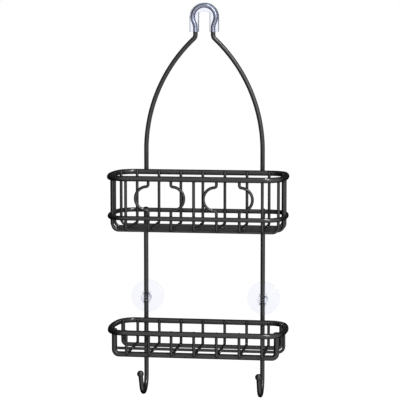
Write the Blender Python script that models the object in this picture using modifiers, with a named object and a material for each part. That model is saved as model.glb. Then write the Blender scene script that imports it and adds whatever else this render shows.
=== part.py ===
"""Two-tier wire shower caddy that hangs on a shower arm.

Metres, +Z up. The user stands on the -Y side and the wall is on the +Y side.
The origin is the middle of the seat in the hook saddle, where the shower arm bears.
"""
import math

import bmesh
import bpy
from mathutils import Vector

# Wire gauges, given as radii, and the clearance left wherever two pieces touch.
THIN_R = 0.0021
BACK_FLOOR_R = 0.0032
RAIL_R = 0.0034
ROD_R = 0.0035
RIM_R = 0.0041
GAP = 0.0003

# Plan of the basket rims, measured on their centreline. The rods stand at Y = 0, behind them.
RIM_HALF_X = 0.1246
RIM_DEPTH = 0.1060
RIM_CORNER_R = 0.025
RIM_BACK_Y = -(ROD_R + GAP + RIM_R)
RIM_FRONT_Y = RIM_BACK_Y - RIM_DEPTH
RIM_CORNER_STEPS = 5
RIM_END_R = 0.150
RIM_END_STEPS = 4

# Cross wires: a row of U shapes that hang inside the rim, front to back.
CROSS_PITCH = 0.032
CROSS_COUNT = 7
CROSS_BEND_R = 0.0030
CROSS_BACK_Y = RIM_BACK_Y - RIM_R - GAP - THIN_R
CROSS_FRONT_Y = RIM_FRONT_Y + RIM_R + GAP + THIN_R
WIRE_TOP_BELOW_RIM_TOP = 0.0013

# Four front wires of the upper basket bow sideways between the rim and the rail.
BOW_REACH = 0.0183
BOW_ANGLE = math.radians(85.5)
BOW_CORNER_R = 0.0032
BOW_CENTRE_Z = -0.2581
BOW_SIDES = {2: -1, 3: 1, 5: -1, 6: 1}

# Long wires: U shapes that run left to right under the cross wires.
UPPER_LONG_COUNT = 4
UPPER_LONG_INSET_Y = 0.0130
LOWER_FRONT_WIRE_Y = -0.0942
LOWER_MIDDLE_WIRE_Y = -0.0625
LOWER_BACK_WIRE_Y = -0.0256
LONG_THIN_BEND_R = 0.0085
LONG_HEAVY_BEND_R = 0.0065

# Heights of the two baskets, on the centrelines.
UPPER_RIM_Z = -0.2299
UPPER_RAIL_Z = -0.2855
UPPER_FLOOR_Z = -0.3051
LOWER_RIM_Z = -0.4480
LOWER_FLOOR_Z = -0.4818

# Hanger: one rod, bent into a loop at the top, a narrow neck and two spread legs.
LOOP_R = 0.0166
LOOP_CENTRE_Z = -0.0072
LOOP_RETURN_R = 0.018
NECK_HALF_X = 0.0128
NECK_BEND_Z = -0.0323
NECK_BEND_R = 0.008
LEG_ARC_R = 0.220
LEG_HALF_X = 0.0846
LEG_FOOT_Z = UPPER_RIM_Z - RIM_R

# Clear hook saddle: a moulded inverted U around the loop, with a flat seat inside at Z = 0.
SADDLE_OUTER_R = 0.0208
SADDLE_SLOT_HALF_X = 0.00825
SADDLE_SLOT_CORNER_R = 0.0018
SADDLE_MOUTH_Z = -0.0281
SADDLE_HALF_Y = 0.0055
SADDLE_EDGE = 0.0007

# Drop rods: straight down from the upper basket's rail, ending in forward hooks whose last
# stretch leans away from the rod.
DROP_HALF_X = 0.0856
DROP_TOP_Z = UPPER_RAIL_Z + RAIL_R
J_HOOK_R = 0.0222
J_HOOK_BOTTOM_Z = -0.5511
J_HOOK_LEAN = math.radians(27)
J_HOOK_LEG = 0.0231
BALL_R = 0.0050
BALL_BORE_R = ROD_R + GAP
BALL_BORE_TOP = 0.001

# Suction cups: each turns on a flanged bush, and the bush slides on the drop rod.
CUP_Z = -0.4152
BUSH_BORE_R = ROD_R + GAP
BUSH_R = 0.0049
BUSH_FLANGE_R = 0.0066
BUSH_FLANGE_INNER_Z = 0.0074
BUSH_FLANGE_OUTER_Z = 0.0086
CUP_BORE_R = BUSH_R + GAP
CUP_BOSS_R = 0.0074
CUP_BOSS_FRONT = -0.0080
CUP_BOSS_BACK = 0.0066
CUP_BOSS_ROUND = 0.0015
CUP_NECK_R = 0.0056
CUP_DOME_START = 0.0078
CUP_HOLLOW_FLOOR = 0.0098
CUP_LIP_Y = 0.0135
CUP_LIP_OUTER_R = 0.0240
CUP_LIP_INNER_R = 0.0224
CUP_LIP_THICKNESS = 0.0009
CUP_STEPS = 28
CUP_WALL_POWER = 1.7
CUP_WALL_STEPS = 5
CUP_BORE_LENGTH = 0.030

# How finely round shapes are divided. A round wire has 4 + 2 * roundness sides.
THIN_ROUNDNESS = 2
HEAVY_ROUNDNESS = 3
WIRE_BEND_STEPS = 4
BOW_CORNER_STEPS = 3
BOW_STEPS = 12
LOOP_STEPS = 8
LOOP_RETURN_STEPS = 3
LEG_STEPS = 11
ARCH_STEPS = 24
SLOT_CORNER_STEPS = 3
SADDLE_EDGE_STEPS = 2
SADDLE_EDGE_ANGLE = math.radians(50)
J_HOOK_STEPS = 12
BALL_RINGS = 8
BALL_STEPS = 16
BUSH_STEPS = 20
WELD_DISTANCE = 0.00001

BLACK_COAT = {"color": (0.022, 0.022, 0.024, 1.0), "roughness": 0.42, "metallic": 0.0, "clear": 0.0}
BLACK_BALL = {"color": (0.015, 0.015, 0.016, 1.0), "roughness": 0.28, "metallic": 0.0, "clear": 0.0}
CLEAR_VINYL = {"color": (0.86, 0.89, 0.97, 1.0), "roughness": 0.12, "metallic": 0.0, "clear": 0.9}


# ---------------------------------------------------------------------------------------------
# Helpers
# ---------------------------------------------------------------------------------------------

def clear_scene():
    """Remove every object that is already in the file."""
    for obj in list(bpy.data.objects):
        bpy.data.objects.remove(obj, do_unlink=True)


def new_collection(name):
    collection = bpy.data.collections.new(name)
    bpy.context.scene.collection.children.link(collection)
    return collection


def make_material(name, look):
    """Principled material from a colour, roughness, metallic value and clearness."""
    material = bpy.data.materials.new(name)
    material.use_nodes = True
    shader = material.node_tree.nodes["Principled BSDF"]
    shader.inputs["Base Color"].default_value = look["color"]
    shader.inputs["Roughness"].default_value = look["roughness"]
    shader.inputs["Metallic"].default_value = look["metallic"]
    shader.inputs["Transmission Weight"].default_value = look["clear"]
    return material


def add_part(name, data, look, location=(0.0, 0.0, 0.0), rotation=(0.0, 0.0, 0.0)):
    """Put one named sub-part, with its own material, in the caddy's collection."""
    obj = bpy.data.objects.new(name, data)
    obj.location = location
    obj.rotation_euler = rotation
    data.materials.append(make_material(name + "_finish", look))
    CADDY.objects.link(obj)
    return obj


def add_cutter(name, data, location=(0.0, 0.0, 0.0), rotation=(0.0, 0.0, 0.0)):
    """Put a shape that is only subtracted from a part in the cutters' collection."""
    obj = bpy.data.objects.new(name, data)
    obj.location = location
    obj.rotation_euler = rotation
    obj.hide_render = True
    obj.display_type = "WIRE"
    CUTTERS.objects.link(obj)
    return obj


def subtract(obj, cutter):
    """Cut one closed shape from another with a Boolean that stays on the part."""
    modifier = obj.modifiers.new("cut_" + cutter.name, "BOOLEAN")
    modifier.operation = "DIFFERENCE"
    modifier.solver = "EXACT"
    modifier.object = cutter


class BentPath:
    """Centreline of a bent wire in one plane, laid down as straights and round bends.

    The plane is spanned by the unit vectors u and v. A positive bend turns from u towards v.
    """

    def __init__(self, start, u, v, heading):
        self.u = Vector(u)
        self.v = Vector(v)
        self.heading = heading
        self.points = [Vector(start)]

    def direction(self, angle):
        return self.u * math.cos(angle) + self.v * math.sin(angle)

    def straight(self, length):
        self.points.append(self.points[-1] + self.direction(self.heading) * length)

    def bend(self, radius, angle, steps):
        side = math.copysign(math.pi / 2, angle)
        centre = self.points[-1] + self.direction(self.heading + side) * radius
        for step in range(1, steps + 1):
            turned = self.heading + angle * step / steps
            self.points.append(centre - self.direction(turned + side) * radius)
        self.heading += angle


def wire_curve(name, points, radius, roundness, cyclic=False):
    """Round wire along a list of centreline points, with closed ends."""
    curve = bpy.data.curves.new(name, "CURVE")
    curve.dimensions = "3D"
    curve.bevel_depth = radius
    curve.bevel_resolution = roundness
    curve.use_fill_caps = True
    spline = curve.splines.new("POLY")
    spline.points.add(len(points) - 1)
    for spline_point, point in zip(spline.points, points):
        spline_point.co = (point[0], point[1], point[2], 1.0)
    spline.use_cyclic_u = cyclic
    spline.use_smooth = True
    return curve


def curve_to_mesh(name, curve, rotation=(0.0, 0.0, 0.0)):
    """Turn a curve into a closed mesh in world position, with its loose caps welded on."""
    holder = bpy.data.objects.new(name + "_curve", curve)
    holder.rotation_euler = rotation
    CUTTERS.objects.link(holder)
    bpy.context.view_layer.update()
    evaluated = holder.evaluated_get(bpy.context.evaluated_depsgraph_get())
    mesh = bpy.data.meshes.new_from_object(evaluated)
    mesh.name = name
    mesh.transform(holder.matrix_world)
    bpy.data.objects.remove(holder, do_unlink=True)
    shape = bmesh.new()
    shape.from_mesh(mesh)
    bmesh.ops.remove_doubles(shape, verts=shape.verts, dist=WELD_DISTANCE)
    bmesh.ops.recalc_face_normals(shape, faces=shape.faces)
    shape.to_mesh(mesh)
    shape.free()
    mesh.materials.clear()
    return mesh


def profile_mesh(name, profile, closed):
    """Edges of a turned outline: radius along X, height along Z."""
    mesh = bpy.data.meshes.new(name)
    count = len(profile)
    edges = [(i, i + 1) for i in range(count - 1)]
    if closed:
        edges.append((count - 1, 0))
    mesh.from_pydata([(r, 0.0, z) for r, z in profile], edges, [])
    return mesh


def turn(obj, steps):
    """Screw modifier that sweeps a profile once about the object's own Z axis."""
    modifier = obj.modifiers.new("turned", "SCREW")
    modifier.axis = "Z"
    modifier.steps = steps
    modifier.render_steps = steps
    modifier.use_merge_vertices = True
    modifier.merge_threshold = WELD_DISTANCE
    modifier.use_smooth_shade = True


def cylinder_mesh(name, radius, length, steps):
    """Closed cylinder about Z, centred on its own origin."""
    shape = bmesh.new()
    bmesh.ops.create_cone(shape, cap_ends=True, segments=steps, radius1=radius, radius2=radius,
                          depth=length)
    mesh = bpy.data.meshes.new(name)
    shape.to_mesh(mesh)
    shape.free()
    return mesh


# ---------------------------------------------------------------------------------------------
# Hanger and hook saddle
# ---------------------------------------------------------------------------------------------

def hanger_half_path():
    """Right half of the hanger, from the top of the loop down to the foot."""
    start = (0.0, 0.0, LOOP_CENTRE_Z + LOOP_R)
    path = BentPath(start, (1.0, 0.0, 0.0), (0.0, 0.0, 1.0), 0.0)
    tuck = math.acos((NECK_HALF_X + LOOP_RETURN_R) / (LOOP_R + LOOP_RETURN_R))
    spread = math.acos(1.0 - (LEG_HALF_X - NECK_HALF_X) / (LEG_ARC_R + NECK_BEND_R))
    path.bend(LOOP_R, -(math.pi / 2 + tuck), LOOP_STEPS)
    path.bend(LOOP_RETURN_R, tuck, LOOP_RETURN_STEPS)
    path.straight(path.points[-1].z - NECK_BEND_Z)
    path.bend(NECK_BEND_R, spread, WIRE_BEND_STEPS)
    path.bend(LEG_ARC_R, -spread, LEG_STEPS)
    path.straight(path.points[-1].z - LEG_FOOT_Z)
    return path.points


def mirrored_in_x(points):
    return [Vector((-point.x, point.y, point.z)) for point in points]


def hanger_points():
    """Whole hanger centreline, from the left foot to the right foot."""
    right = hanger_half_path()
    left = mirrored_in_x(right[1:])
    left.reverse()
    return left + right


def loop_points():
    """The loop and the first of the neck below it, as far as the bends that spread the legs."""
    return [point for point in hanger_points() if point.z > NECK_BEND_Z - NECK_BEND_R]


def make_hanger():
    add_part("hanger_rod", wire_curve("hanger_rod", hanger_points(), ROD_R, HEAVY_ROUNDNESS), BLACK_COAT)


def saddle_outline():
    """Front outline of the saddle in X and Z: an arch outside, a square slot inside."""
    outer = BentPath((SADDLE_OUTER_R, 0.0, SADDLE_MOUTH_Z), (1.0, 0.0, 0.0), (0.0, 0.0, 1.0),
                     math.pi / 2)
    outer.straight(LOOP_CENTRE_Z - SADDLE_MOUTH_Z)
    outer.bend(SADDLE_OUTER_R, math.pi, ARCH_STEPS)
    outer.straight(LOOP_CENTRE_Z - SADDLE_MOUTH_Z)
    slot = BentPath((-SADDLE_SLOT_HALF_X, 0.0, SADDLE_MOUTH_Z), (1.0, 0.0, 0.0), (0.0, 0.0, 1.0),
                    math.pi / 2)
    slot.straight(-SADDLE_MOUTH_Z - SADDLE_SLOT_CORNER_R)
    slot.bend(SADDLE_SLOT_CORNER_R, -math.pi / 2, SLOT_CORNER_STEPS)
    slot.straight(2 * (SADDLE_SLOT_HALF_X - SADDLE_SLOT_CORNER_R))
    slot.bend(SADDLE_SLOT_CORNER_R, -math.pi / 2, SLOT_CORNER_STEPS)
    slot.straight(-SADDLE_MOUTH_Z - SADDLE_SLOT_CORNER_R)
    return outer.points + slot.points


def make_hook_saddle():
    """Clear moulded saddle: extruded outline with a tunnel for the hanger's loop."""
    outline = bpy.data.curves.new("hook_saddle_outline", "CURVE")
    outline.dimensions = "2D"
    outline.fill_mode = "BOTH"
    outline.extrude = SADDLE_HALF_Y
    points = saddle_outline()
    spline = outline.splines.new("POLY")
    spline.points.add(len(points) - 1)
    for spline_point, point in zip(spline.points, points):
        spline_point.co = (point.x, point.z, 0.0, 1.0)
    spline.use_cyclic_u = True
    body = curve_to_mesh("hook_saddle", outline, (math.pi / 2, 0.0, 0.0))
    saddle = add_part("hook_saddle", body, CLEAR_VINYL)
    edges = saddle.modifiers.new("soft_edges", "BEVEL")
    edges.width = SADDLE_EDGE
    edges.segments = SADDLE_EDGE_STEPS
    edges.limit_method = "ANGLE"
    edges.angle_limit = SADDLE_EDGE_ANGLE
    tunnel = wire_curve("saddle_tunnel", loop_points(), ROD_R + GAP, HEAVY_ROUNDNESS)
    subtract(saddle, add_cutter("saddle_tunnel", curve_to_mesh("saddle_tunnel", tunnel)))


# ---------------------------------------------------------------------------------------------
# Baskets
# ---------------------------------------------------------------------------------------------

def rim_end_angle():
    """Half the angle that the shallow arc at each end of the rim covers."""
    return math.asin((RIM_DEPTH / 2 - RIM_CORNER_R) / (RIM_END_R - RIM_CORNER_R))


def rim_corner_x():
    """X of the centre of a corner arc, which meets the end arc without a kink."""
    return RIM_HALF_X - RIM_END_R + (RIM_END_R - RIM_CORNER_R) * math.cos(rim_end_angle())


def rim_points(z):
    """Rounded rectangle with slightly bowed ends, seen from above, at one height."""
    end = rim_end_angle()
    path = BentPath((-rim_corner_x(), RIM_FRONT_Y, z), (1.0, 0.0, 0.0), (0.0, 1.0, 0.0), 0.0)
    for _ in range(2):
        path.straight(2 * rim_corner_x())
        path.bend(RIM_CORNER_R, math.pi / 2 - end, RIM_CORNER_STEPS)
        path.bend(RIM_END_R, 2 * end, RIM_END_STEPS)
        path.bend(RIM_CORNER_R, math.pi / 2 - end, RIM_CORNER_STEPS)
    return path.points[:-1]


def make_rim(name, z, radius):
    add_part(name, wire_curve(name, rim_points(z), radius, HEAVY_ROUNDNESS, cyclic=True), BLACK_COAT)


def cross_u_points(start, floor_z, top_z):
    """Lower part of a cross wire: down at the front from start, under the basket, up at the back."""
    path = BentPath(start, (0.0, 1.0, 0.0), (0.0, 0.0, 1.0), -math.pi / 2)
    path.straight(start[2] - floor_z - CROSS_BEND_R)
    path.bend(CROSS_BEND_R, math.pi / 2, WIRE_BEND_STEPS)
    path.straight(CROSS_BACK_Y - CROSS_FRONT_Y - 2 * CROSS_BEND_R)
    path.bend(CROSS_BEND_R, math.pi / 2, WIRE_BEND_STEPS)
    path.straight(top_z - floor_z - CROSS_BEND_R)
    return path.points


def bow_points(x, side, top_z):
    """Front stretch of a bowed wire: a stub, a C-shaped bow to one side, back on its line."""
    bow_r = BOW_REACH / (1.0 - math.cos(BOW_ANGLE)) - BOW_CORNER_R
    half_height = (bow_r + BOW_CORNER_R) * math.sin(BOW_ANGLE)
    path = BentPath((x, CROSS_FRONT_Y, top_z), (side, 0.0, 0.0), (0.0, 0.0, 1.0), -math.pi / 2)
    path.straight(top_z - BOW_CENTRE_Z - half_height)
    path.bend(BOW_CORNER_R, BOW_ANGLE, BOW_CORNER_STEPS)
    path.bend(bow_r, -2 * BOW_ANGLE, BOW_STEPS)
    path.bend(BOW_CORNER_R, BOW_ANGLE, BOW_CORNER_STEPS)
    return path.points


def make_cross_wire(name, x, floor_z, rim_z, bow_side=0):
    top_z = rim_z + RIM_R - WIRE_TOP_BELOW_RIM_TOP
    start = [Vector((x, CROSS_FRONT_Y, top_z))]
    if bow_side:
        start = bow_points(x, bow_side, top_z)
    points = start[:-1] + cross_u_points(start[-1], floor_z, top_z)
    add_part(name, wire_curve(name, points, THIN_R, THIN_ROUNDNESS), BLACK_COAT)


def inside_rim_x(y, clearance):
    """Largest X at depth y that keeps the given distance inside the rim's centreline."""
    off_middle = abs(y - (RIM_BACK_Y + RIM_FRONT_Y) / 2)
    if off_middle < (RIM_END_R - clearance) * math.sin(rim_end_angle()):
        return RIM_HALF_X - RIM_END_R + math.sqrt((RIM_END_R - clearance) ** 2 - off_middle ** 2)
    into_corner = off_middle - (RIM_DEPTH / 2 - RIM_CORNER_R)
    return rim_corner_x() + math.sqrt((RIM_CORNER_R - clearance) ** 2 - into_corner ** 2)


def make_long_wire(name, y, floor_z, rim_z, radius, bend_r, roundness):
    """U-shaped wire under the cross wires whose ends rise to the inside of the rim."""
    half_x = inside_rim_x(y, RIM_R + GAP + radius)
    rise = rim_z + RIM_R - WIRE_TOP_BELOW_RIM_TOP - floor_z - bend_r
    start = (-half_x, y, floor_z + bend_r + rise)
    path = BentPath(start, (1.0, 0.0, 0.0), (0.0, 0.0, 1.0), -math.pi / 2)
    path.straight(rise)
    path.bend(bend_r, math.pi / 2, WIRE_BEND_STEPS)
    path.straight(2 * (half_x - bend_r))
    path.bend(bend_r, math.pi / 2, WIRE_BEND_STEPS)
    path.straight(rise)
    add_part(name, wire_curve(name, path.points, radius, roundness), BLACK_COAT)


def cross_wire_x(number):
    return (number - (CROSS_COUNT + 1) / 2) * CROSS_PITCH


def make_upper_basket():
    make_rim("upper_top_rim", UPPER_RIM_Z, RIM_R)
    make_rim("upper_lower_rail", UPPER_RAIL_Z, RAIL_R)
    cross_floor_z = UPPER_FLOOR_Z + 2 * THIN_R + GAP
    for number in range(1, CROSS_COUNT + 1):
        name = "upper_cross_wire_%d" % number
        side = BOW_SIDES.get(number, 0)
        make_cross_wire(name, cross_wire_x(number), cross_floor_z, UPPER_RIM_Z, side)
    front_y = CROSS_FRONT_Y + UPPER_LONG_INSET_Y
    pitch_y = (CROSS_BACK_Y - UPPER_LONG_INSET_Y - front_y) / (UPPER_LONG_COUNT - 1)
    for number in range(1, UPPER_LONG_COUNT + 1):
        y = front_y + (number - 1) * pitch_y
        make_long_wire("upper_long_wire_%d" % number, y, UPPER_FLOOR_Z, UPPER_RIM_Z, THIN_R,
                       LONG_THIN_BEND_R, THIN_ROUNDNESS)


def make_lower_basket():
    make_rim("lower_top_rim", LOWER_RIM_Z, RIM_R)
    cross_floor_z = LOWER_FLOOR_Z + RIM_R + GAP + THIN_R
    for number in range(1, CROSS_COUNT + 1):
        make_cross_wire("lower_cross_wire_%d" % number, cross_wire_x(number), cross_floor_z, LOWER_RIM_Z)
    floor_wires = (
        ("front", LOWER_FRONT_WIRE_Y, RIM_R, LONG_HEAVY_BEND_R, HEAVY_ROUNDNESS),
        ("middle", LOWER_MIDDLE_WIRE_Y, THIN_R, LONG_THIN_BEND_R, THIN_ROUNDNESS),
        ("back", LOWER_BACK_WIRE_Y, BACK_FLOOR_R, LONG_HEAVY_BEND_R, HEAVY_ROUNDNESS),
    )
    for place, y, radius, bend_r, roundness in floor_wires:
        floor_z = cross_floor_z - THIN_R - GAP - radius
        make_long_wire("lower_long_wire_" + place, y, floor_z, LOWER_RIM_Z, radius, bend_r, roundness)


# ---------------------------------------------------------------------------------------------
# Drop rods, hook balls, bushes and suction cups
# ---------------------------------------------------------------------------------------------

def drop_rod_path(x):
    """Straight rod that ends in a J hook, open upwards on the user's side."""
    path = BentPath((x, 0.0, DROP_TOP_Z), (0.0, -1.0, 0.0), (0.0, 0.0, 1.0), -math.pi / 2)
    path.straight(DROP_TOP_Z - J_HOOK_BOTTOM_Z - J_HOOK_R)
    path.bend(J_HOOK_R, math.pi - J_HOOK_LEAN, J_HOOK_STEPS)
    path.straight(J_HOOK_LEG)
    return path


def make_drop_rod(side_name, x):
    name = side_name + "_drop_rod"
    add_part(name, wire_curve(name, drop_rod_path(x).points, ROD_R, HEAVY_ROUNDNESS), BLACK_COAT)


def make_hook_ball(side_name, x):
    """Ball cap with a blind bore that sits over the end of the J hook."""
    last = math.pi - math.asin(BALL_BORE_R / BALL_R)
    angles = [last * i / BALL_RINGS for i in range(BALL_RINGS + 1)]
    profile = [(BALL_R * math.sin(a), BALL_R * math.cos(a)) for a in angles]
    profile += [(BALL_BORE_R, BALL_BORE_TOP), (0.0, BALL_BORE_TOP)]
    name = side_name + "_hook_ball"
    path = drop_rod_path(x)
    centre = path.points[-1] + path.direction(path.heading) * (GAP - BALL_BORE_TOP)
    ball = add_part(name, profile_mesh(name, profile, closed=False), BLACK_BALL,
                    location=centre, rotation=(J_HOOK_LEAN, 0.0, 0.0))
    turn(ball, BALL_STEPS)


def make_cup_bush(side_name, x):
    """Thin flanged sleeve that slides on the drop rod and carries the cup."""
    upper = [(BUSH_BORE_R, BUSH_FLANGE_OUTER_Z), (BUSH_FLANGE_R, BUSH_FLANGE_OUTER_Z),
             (BUSH_FLANGE_R, BUSH_FLANGE_INNER_Z), (BUSH_R, BUSH_FLANGE_INNER_Z)]
    lower = [(r, -z) for r, z in reversed(upper)]
    name = side_name + "_cup_bush"
    mesh = profile_mesh(name, upper + lower, closed=True)
    bush = add_part(name, mesh, CLEAR_VINYL, location=(x, 0.0, CUP_Z))
    turn(bush, BUSH_STEPS)


def flare(start_r, start_y, end_r, end_y):
    """Points of a dome wall that leaves its start flat and steepens towards the lip."""
    points = []
    for i in range(CUP_WALL_STEPS + 1):
        t = i / CUP_WALL_STEPS
        points.append((start_r + (end_r - start_r) * t, start_y + (end_y - start_y) * t ** CUP_WALL_POWER))
    return points


def make_suction_cup(side_name, x):
    """Clear cup on a round boss; the boss is cross-bored for the bush."""
    hollow = flare(0.0, CUP_HOLLOW_FLOOR, CUP_LIP_INNER_R, CUP_LIP_Y)
    outside = flare(CUP_NECK_R, CUP_DOME_START, CUP_LIP_OUTER_R, CUP_LIP_Y - CUP_LIP_THICKNESS)
    outside.reverse()
    boss = [(CUP_NECK_R, CUP_BOSS_BACK), (CUP_BOSS_R, CUP_BOSS_BACK - CUP_BOSS_ROUND / 2),
            (CUP_BOSS_R, CUP_BOSS_FRONT + CUP_BOSS_ROUND),
            (CUP_BOSS_R - CUP_BOSS_ROUND, CUP_BOSS_FRONT), (0.0, CUP_BOSS_FRONT)]
    profile = hollow + [(CUP_LIP_OUTER_R, CUP_LIP_Y)] + outside + boss
    name = side_name + "_suction_cup"
    cup = add_part(name, profile_mesh(name, profile, closed=False), CLEAR_VINYL,
                   location=(x, 0.0, CUP_Z), rotation=(-math.pi / 2, 0.0, 0.0))
    turn(cup, CUP_STEPS)
    bore = cylinder_mesh(side_name + "_cup_bore", CUP_BORE_R, CUP_BORE_LENGTH, BUSH_STEPS)
    subtract(cup, add_cutter(side_name + "_cup_bore", bore, location=(x, 0.0, CUP_Z)))


def main():
    make_hanger()
    make_hook_saddle()
    make_upper_basket()
    make_lower_basket()
    for side_name, side in (("left", -1.0), ("right", 1.0)):
        x = side * DROP_HALF_X
        make_drop_rod(side_name, x)
        make_hook_ball(side_name, x)
        make_cup_bush(side_name, x)
        make_suction_cup(side_name, x)


clear_scene()
CADDY = new_collection("shower_caddy")
CUTTERS = new_collection("cutters")
main()
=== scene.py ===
"""Looks of the two-tier wire shower caddy: coated wires with weld fillets, a clear moulded saddle
and clear suction cups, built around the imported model.

Metres, +Z up. The user stands on the -Y side and the wall is on the +Y side.
"""

import math

import bmesh
import bpy
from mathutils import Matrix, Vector


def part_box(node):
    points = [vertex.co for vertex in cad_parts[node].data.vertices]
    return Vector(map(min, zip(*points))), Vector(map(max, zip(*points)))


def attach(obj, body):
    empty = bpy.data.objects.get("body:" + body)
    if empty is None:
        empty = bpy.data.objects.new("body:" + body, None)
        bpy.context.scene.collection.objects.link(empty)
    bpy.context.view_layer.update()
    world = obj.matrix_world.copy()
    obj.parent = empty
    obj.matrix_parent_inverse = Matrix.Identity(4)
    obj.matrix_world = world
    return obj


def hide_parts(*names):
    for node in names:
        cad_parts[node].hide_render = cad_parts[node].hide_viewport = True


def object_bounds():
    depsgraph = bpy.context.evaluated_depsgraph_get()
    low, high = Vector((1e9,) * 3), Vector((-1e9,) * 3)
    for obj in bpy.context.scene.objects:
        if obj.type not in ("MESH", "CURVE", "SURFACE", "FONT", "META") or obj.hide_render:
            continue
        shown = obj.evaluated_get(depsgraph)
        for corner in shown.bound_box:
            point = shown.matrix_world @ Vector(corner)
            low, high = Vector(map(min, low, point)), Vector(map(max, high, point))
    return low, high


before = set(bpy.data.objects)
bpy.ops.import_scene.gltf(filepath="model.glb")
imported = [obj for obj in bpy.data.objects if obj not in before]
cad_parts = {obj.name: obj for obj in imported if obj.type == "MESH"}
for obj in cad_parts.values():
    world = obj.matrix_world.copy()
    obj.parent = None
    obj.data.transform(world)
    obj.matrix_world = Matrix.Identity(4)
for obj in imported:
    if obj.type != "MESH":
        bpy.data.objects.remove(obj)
CAD_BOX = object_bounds()

X_AXIS = Vector((1.0, 0.0, 0.0))
Y_AXIS = Vector((0.0, 1.0, 0.0))
Z_AXIS = Vector((0.0, 0.0, 1.0))

# How finely the wires are drawn, and how far their cut ends are rounded, as a share of the radius.
WIRE_SIDES = 20
BEND_STEP = math.radians(7)
BEND_CHORD = 0.005
END_ROUNDING = 0.35
END_RINGS = 4

# Bends that the boxes of the wires don't give, on the centrelines.
RIM_CORNER_R = 0.025
RIM_END_R = 0.150
CROSS_BEND_R = 0.0030
BOW_ANGLE = math.radians(85.5)
BOW_CORNER_R = 0.0032
BOW_CENTRE_Z = -0.2581
BOW_SIDES = {
    "upper_cross_wire_2": -1,
    "upper_cross_wire_3": 1,
    "upper_cross_wire_5": -1,
    "upper_cross_wire_6": 1,
}
LONG_THIN_BEND_R = 0.0085
LONG_HEAVY_BEND_R = 0.0065
HEAVY_WIRE_RATIO = 1.2
LOOP_R = 0.0166
LOOP_RETURN_R = 0.018
NECK_HALF_X = 0.0128
NECK_BEND_Z = -0.0323
NECK_BEND_R = 0.008
LEG_ARC_R = 0.220
HOOK_R = 0.0222
HOOK_LEAN = math.radians(27)
HOOK_LEG = 0.0231

# How far welding presses the cross wires down into the long wires of each floor. A crossing closer
# than this share of the two radii is buried, so it gets no fillet.
FLOOR_SINK = {"upper": 0.0022, "lower": 0.0045}
DEEP_WELD = 0.75

# Welds: how far the ends of the long wires sink into the rims, deeper within MIDDLE_REACH of the
# middle of the rim's end, and how far a fillet spreads and narrows, as shares of the wire's radius.
END_SINK_OUTER = 0.0031
END_SINK_MIDDLE = 0.0047
MIDDLE_REACH = 0.020
FILLET_REACH = 0.92
FILLET_WAIST = 0.60
FILLET_STEPS = 20
FILLET_RINGS = 6
FILLET_ROOT = 0.0002

# Turned and moulded pieces.
TURNED_STEPS = 96
CORNER_STEPS = 5
CREASE_ANGLE = math.radians(38)
CLEARANCE = 0.0003

# Saddle: the slot for the shower arm, its grip ribs and the softened edges.
SLOT_HALF_X = 0.00825
SLOT_CORNER_R = 0.0018
RIB_COUNT = 3
RIB_R = 0.0006
RIB_STEPS = 8
SADDLE_EDGE = 0.0004

# Suction cups, measured from the rod's axis towards the wall, and the bushes they turn on.
CUP_BOSS_R = 0.0074
CUP_BOSS_BACK = 0.0066
CUP_BOSS_ROUND = 0.0015
CUP_BOSS_BACK_ROUND = 0.0007
CUP_NECK_R = 0.0056
CUP_WALL_ROOT = 0.0078
CUP_WALL_POWER = 1.7
CUP_WALL_STEPS = 24
CUP_HOLLOW_FLOOR = 0.0098
CUP_LIP_WIDTH = 0.0016
CUP_LIP_THICKNESS = 0.0009
CUP_BAND = 0.0003
CUP_BAND_START = 0.80
BUSH_R = 0.0049
BUSH_FLANGE_UNDER = 0.0074
BUSH_EDGE = 0.0002

# Ball tips.
BALL_RINGS = 24
BALL_SEAM = 0.00010
BALL_GATE_R = 0.0012
BALL_BORE_TOP = 0.001

# Each noise texture has a scale, a detail and a roughness. It is used between these two levels,
# where nearly all of its values lie.
NOISE_LOW = 0.3
NOISE_HIGH = 0.7

# How much bluer than neutral the greys are.
GREY_BLUE = 1.04

# Powder coat: orange peel, fine grain and patches.
PEEL_NOISE = (420.0, 2.0, 0.5)
PEEL_RELIEF = 0.00008
GRAIN_NOISE = (2600.0, 3.0, 0.6)
GRAIN_RELIEF = 0.00002
COAT_PATCH_NOISE = (45.0, 3.0, 0.5)
COAT_GREYS = (0.007, 0.011)
COAT_ROUGHNESS = (0.15, 0.24)
RELIEF_STRENGTH = 0.4

# Bare drawn steel under the saddle, and the ragged edge where the coat ends.
STEEL_PATCH_NOISE = (120.0, 4.0, 0.5)
STEEL_DARK = (0.25, (0.22, 0.23, 0.27, 1.0))
STEEL_PALE = (0.75, (0.34, 0.35, 0.40, 1.0))
STEEL_ROUGHNESS = (0.20, 0.30)
STEEL_RELIEF_STRENGTH = 0.02
COAT_EDGE_NOISE = (900.0, 2.0, 0.5)
COAT_EDGE_BLUR = 0.0006

# Black plastic of the ball tips.
BALL_HAZE_NOISE = (900.0, 3.0, 0.5)
BALL_GREYS = (0.006, 0.010)
BALL_ROUGHNESS = (0.22, 0.34)
BALL_RELIEF = 0.00003

# Sockets of a Mix node set to colour.
MIX_FACTOR = 0
MIX_COLOR_A = 6
MIX_COLOR_B = 7
MIX_COLOR_RESULT = 2

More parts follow.
